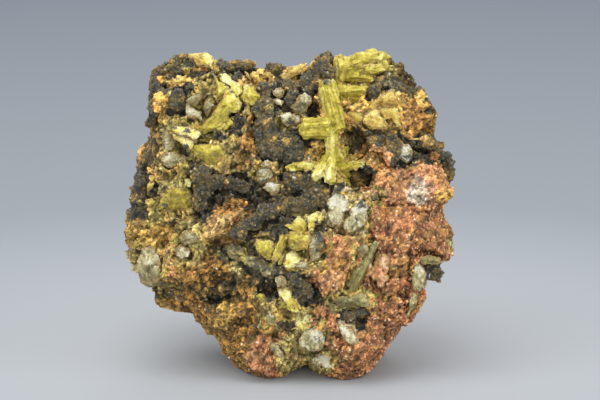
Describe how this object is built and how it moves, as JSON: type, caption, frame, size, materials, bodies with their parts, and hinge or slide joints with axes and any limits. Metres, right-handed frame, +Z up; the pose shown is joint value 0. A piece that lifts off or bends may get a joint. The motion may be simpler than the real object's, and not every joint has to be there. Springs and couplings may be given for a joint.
{
  "type": "pyromorphite specimen",
  "caption": "Hand-sized mineral specimen: yellow-green prismatic crystals and dark botryoidal crust on an orange to red-brown granular matrix.",
  "frame": {"origin": "on the flat break that the specimen rests on, near its middle", "axes": "+Z up, -Y toward the viewer of the crystal-bearing front face, +X to that viewer's right"},
  "size_m": [0.074, 0.054, 0.0711],
  "materials": {
    "matrix_rock": "granular, matt, with small glossy grains",
    "dark_crust": "velvety, botryoidal",
    "yellow_green_crystal": "resinous, translucent",
    "golden_crystal": "resinous, translucent",
    "pale_crystal": "glassy, translucent",
    "olive_green_crystal": "glassy, translucent",
    "salmon_crystal": "smooth, slightly glossy"
  },
  "bodies": {
    "root": {"bottom_crystals": "pale_crystal", "bottom_left_crystal": "pale_crystal", "centre_cross": "yellow_green_crystal", "centre_pale_crystals": "pale_crystal", "dark_band_lower": "dark_crust", "dark_crust_centre": "dark_crust", "dark_crust_far_right": "dark_crust", "dark_crust_left_edge": "dark_crust", "dark_crust_left_middle": "dark_crust", "dark_crust_middle": "dark_crust", "dark_crust_right": "dark_crust", "dark_crust_top": "dark_crust", "dark_crust_top_left": "dark_crust", "dark_crust_top_notch": "dark_crust", "dark_crust_upper_centre": "dark_crust", "dark_crust_upper_left": "dark_crust", "dark_knob_lower_right": "dark_crust", "dark_knob_top_right": "dark_crust", "dark_knobs_left_edge": "dark_crust", "dark_ridge_top": "dark_crust", "dark_spot_lower": "dark_crust", "glassy_crystal": "pale_crystal", "green_prism_long": "olive_green_crystal", "green_prism_low": "olive_green_crystal", "left_edge_green_crystals": "yellow_green_crystal", "left_edge_orange_crystal": "golden_crystal", "left_lower_crystals": "yellow_green_crystal", "left_middle_crystals": "yellow_green_crystal", "left_pale_crystals": "pale_crystal", "left_small_crystals": "pale_crystal", "lower_centre_crystals": "yellow_green_crystal", "lower_left_crystal": "pale_crystal", "lower_left_small_crystals": "pale_crystal", "lower_pale_crystals": "pale_crystal", "lower_yellow_crystals": "yellow_green_crystal", "matrix": "matrix_rock", "pale_crystals_below_spray": "pale_crystal", "pale_plate": "pale_crystal", "pale_ridge_crystals": "pale_crystal", "right_edge_green_crystal": "olive_green_crystal", "right_edge_pale_crystal": "pale_crystal", "right_fringe": "golden_crystal", "right_lower_edge_crystal": "olive_green_crystal", "salmon_plate": "salmon_crystal", "spotted_slab": "pale_crystal", "top_golden_crystals": "golden_crystal", "top_golden_patch": "golden_crystal", "top_left_crystals": "golden_crystal", "top_right_bundle": "yellow_green_crystal", "upper_centre_crystals": "pale_crystal", "upper_left_spray": "yellow_green_crystal", "upright_behind_cross": "yellow_green_crystal"}
  },
  "joints": []
}
